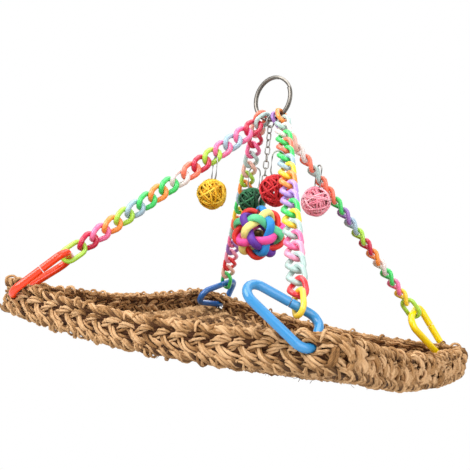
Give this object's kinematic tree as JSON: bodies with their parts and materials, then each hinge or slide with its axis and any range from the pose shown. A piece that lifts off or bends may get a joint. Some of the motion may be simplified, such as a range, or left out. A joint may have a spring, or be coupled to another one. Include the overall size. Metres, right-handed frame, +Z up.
{
  "type": "bird climbing net",
  "caption": "Woven seagrass mat hung level at its corners on coloured plastic link chains from one split ring, with hanging ball toys, for cage birds to climb and chew.",
  "frame": {"origin": "inside the top of the split ring, where the hook that carries the toy bears", "axes": "+Z up; +X and +Y along the two pairs of sides of the square mat"},
  "size_m": [0.3162, 0.3408, 0.2633],
  "materials": {
    "ring_steel": "bright nickel-plated spring steel",
    "wire_steel": "plain drawn steel wire",
    "bell_bronze": "dark bronze-coloured stamped sheet",
    "pellet_steel": "plain steel shot",
    "seagrass_rope": "dry twisted seagrass, matt straw",
    "seagrass_band": "dry plaited seagrass, matt straw",
    "seagrass_panel": "dry woven seagrass, matt brown",
    "link_mint": "moulded glossy plastic, slightly see-through",
    "link_pink": "moulded glossy plastic",
    "link_lime": "moulded glossy plastic",
    "link_coral": "moulded glossy plastic",
    "link_green": "moulded glossy plastic",
    "link_orange": "moulded glossy plastic",
    "link_yellow": "moulded glossy plastic",
    "link_lilac": "moulded glossy plastic",
    "link_purple": "moulded glossy plastic",
    "link_peach": "moulded glossy plastic, slightly see-through",
    "link_crimson": "moulded glossy plastic",
    "link_red": "moulded glossy plastic",
    "link_sky": "moulded glossy plastic, slightly see-through",
    "link_clear": "moulded glossy plastic, slightly see-through",
    "clip_red": "moulded glossy plastic",
    "clip_blue": "moulded glossy plastic",
    "clip_yellow": "moulded glossy plastic",
    "clip_dark_blue": "moulded glossy plastic",
    "rattan_yellow": "dyed rattan vine, satin",
    "rattan_red": "dyed rattan vine, satin",
    "rattan_pink": "dyed rattan vine, satin",
    "rattan_green": "dyed rattan vine, satin",
    "rainbow_red": "soft matt plastic tube",
    "rainbow_blue": "soft matt plastic tube",
    "rainbow_green": "soft matt plastic tube",
    "rainbow_yellow": "soft matt plastic tube",
    "rainbow_purple": "soft matt plastic tube",
    "rainbow_pink": "soft matt plastic tube"
  },
  "bodies": {
    "ring": {"hanging_ring": "ring_steel"},
    "hammock": {"left_chain_top_link": "link_mint", "left_chain_links_1": "link_pink", "left_chain_links_2": "link_lime", "left_chain_links_3": "link_coral", "left_chain_links_4": "link_green", "left_chain_links_5": "link_orange", "left_chain_end_link": "link_lime", "near_chain_top_link": "link_orange", "near_chain_links_1": "link_green", "near_chain_links_2": "link_orange", "near_chain_links_3": "link_yellow", "near_chain_links_4": "link_lilac", "near_chain_links_5": "link_pink", "near_chain_end_link": "link_yellow", "right_chain_top_link": "link_purple", "right_chain_links_1": "link_peach", "right_chain_links_2": "link_coral", "right_chain_links_3": "link_green", "right_chain_links_4": "link_lime", "right_chain_links_5": "link_orange", "right_chain_end_link": "link_lime", "back_chain_top_link": "link_coral", "back_chain_links_1": "link_crimson", "back_chain_links_2": "link_pink", "back_chain_links_3": "link_peach", "back_chain_links_4": "link_red", "back_chain_links_5": "link_purple", "back_chain_end_link": "link_green", "rim_rope": "seagrass_rope", "border_band": "seagrass_band", "base_rope": "seagrass_rope", "mat_panel": "seagrass_panel"},
    "left_clip": {"left_clip": "clip_red"},
    "near_clip": {"near_clip": "clip_blue"},
    "right_clip": {"right_clip": "clip_yellow"},
    "back_clip": {"back_clip": "clip_dark_blue"},
    "left_ball": {"left_ball_loop": "wire_steel", "left_rattan_ball": "rattan_yellow"},
    "near_ball": {"near_ball_loop": "wire_steel", "near_rattan_ball": "rattan_red"},
    "right_ball": {"right_ball_loop": "wire_steel", "right_rattan_ball": "rattan_pink"},
    "back_ball": {"back_ball_loop": "wire_steel", "back_rattan_ball": "rattan_green"},
    "toy_chain": {"chain_jump_ring": "wire_steel", "steel_chain": "wire_steel"},
    "rainbow_ball": {"rainbow_ball_loop": "wire_steel", "rainbow_ring_red": "rainbow_red", "rainbow_ring_blue": "rainbow_blue", "rainbow_ring_green": "rainbow_green", "rainbow_ring_yellow": "rainbow_yellow", "rainbow_ring_purple": "rainbow_purple", "rainbow_ring_pink": "rainbow_pink"},
    "bell": {"bell": "bell_bronze"},
    "bell_pellet": {"bell_pellet": "pellet_steel"}
  },
  "joints": [
    {"name": "hammock_swing", "type": "hinge", "parent": "ring", "child": "hammock", "pos_m": [0, 0, -0.0385], "axis": [0.9848, -0.1736, 0], "range_deg": [-15, 15]},
    {"name": "left_clip_twist", "type": "hinge", "parent": "hammock", "child": "left_clip", "pos_m": [-0.127, -0.1537, -0.21238], "axis": [-0.4581, -0.589, -0.6657], "range_deg": [-8, 8]},
    {"name": "near_clip_twist", "type": "hinge", "parent": "hammock", "child": "near_clip", "pos_m": [0.127, -0.1537, -0.2231], "axis": [0.4276, -0.5653, -0.7054], "range_deg": [-8, 8]},
    {"name": "right_clip_twist", "type": "hinge", "parent": "hammock", "child": "right_clip", "pos_m": [0.127, 0.1537, -0.23065], "axis": [0.4373, 0.5623, -0.7019], "range_deg": [-8, 8]},
    {"name": "back_clip_twist", "type": "hinge", "parent": "hammock", "child": "back_clip", "pos_m": [-0.127, 0.1537, -0.20492], "axis": [-0.4486, 0.593, -0.6687], "range_deg": [-8, 8]},
    {"name": "left_ball_swing", "type": "hinge", "parent": "hammock", "child": "left_ball", "pos_m": [-0.03346, -0.03349, -0.08413], "axis": [-0.6139, -0.7894, 0], "range_deg": [-12, 12]},
    {"name": "near_ball_swing", "type": "hinge", "parent": "hammock", "child": "near_ball", "pos_m": [0.03465, -0.04066, -0.08026], "axis": [0.6033, -0.7975, 0], "range_deg": [-12, 12]},
    {"name": "right_ball_swing", "type": "hinge", "parent": "hammock", "child": "right_ball", "pos_m": [0.03848, 0.03074, -0.08292], "axis": [0.6139, 0.7894, 0], "range_deg": [-12, 12]},
    {"name": "back_ball_swing", "type": "hinge", "parent": "hammock", "child": "back_ball", "pos_m": [-0.03617, 0.04294, -0.07748], "axis": [-0.6033, 0.7975, 0], "range_deg": [-12, 12]},
    {"name": "chain_swing", "type": "hinge", "parent": "hammock", "child": "toy_chain", "pos_m": [0, 0, -0.0385], "axis": [0.9848, -0.1736, 0], "range_deg": [-12, 12]},
    {"name": "rainbow_swing", "type": "hinge", "parent": "toy_chain", "child": "rainbow_ball", "pos_m": [0, 0, -0.10952], "axis": [0.9996, -0.03, 0], "range_deg": [-25, 25]},
    {"name": "bell_rattle", "type": "slide", "parent": "rainbow_ball", "child": "bell", "axis": [0, 0, 1], "range_m": [0, 0.005]},
    {"name": "pellet_rattle", "type": "slide", "parent": "bell", "child": "bell_pellet", "axis": [0, 0, 1], "range_m": [0, 0.004]}
  ]
}
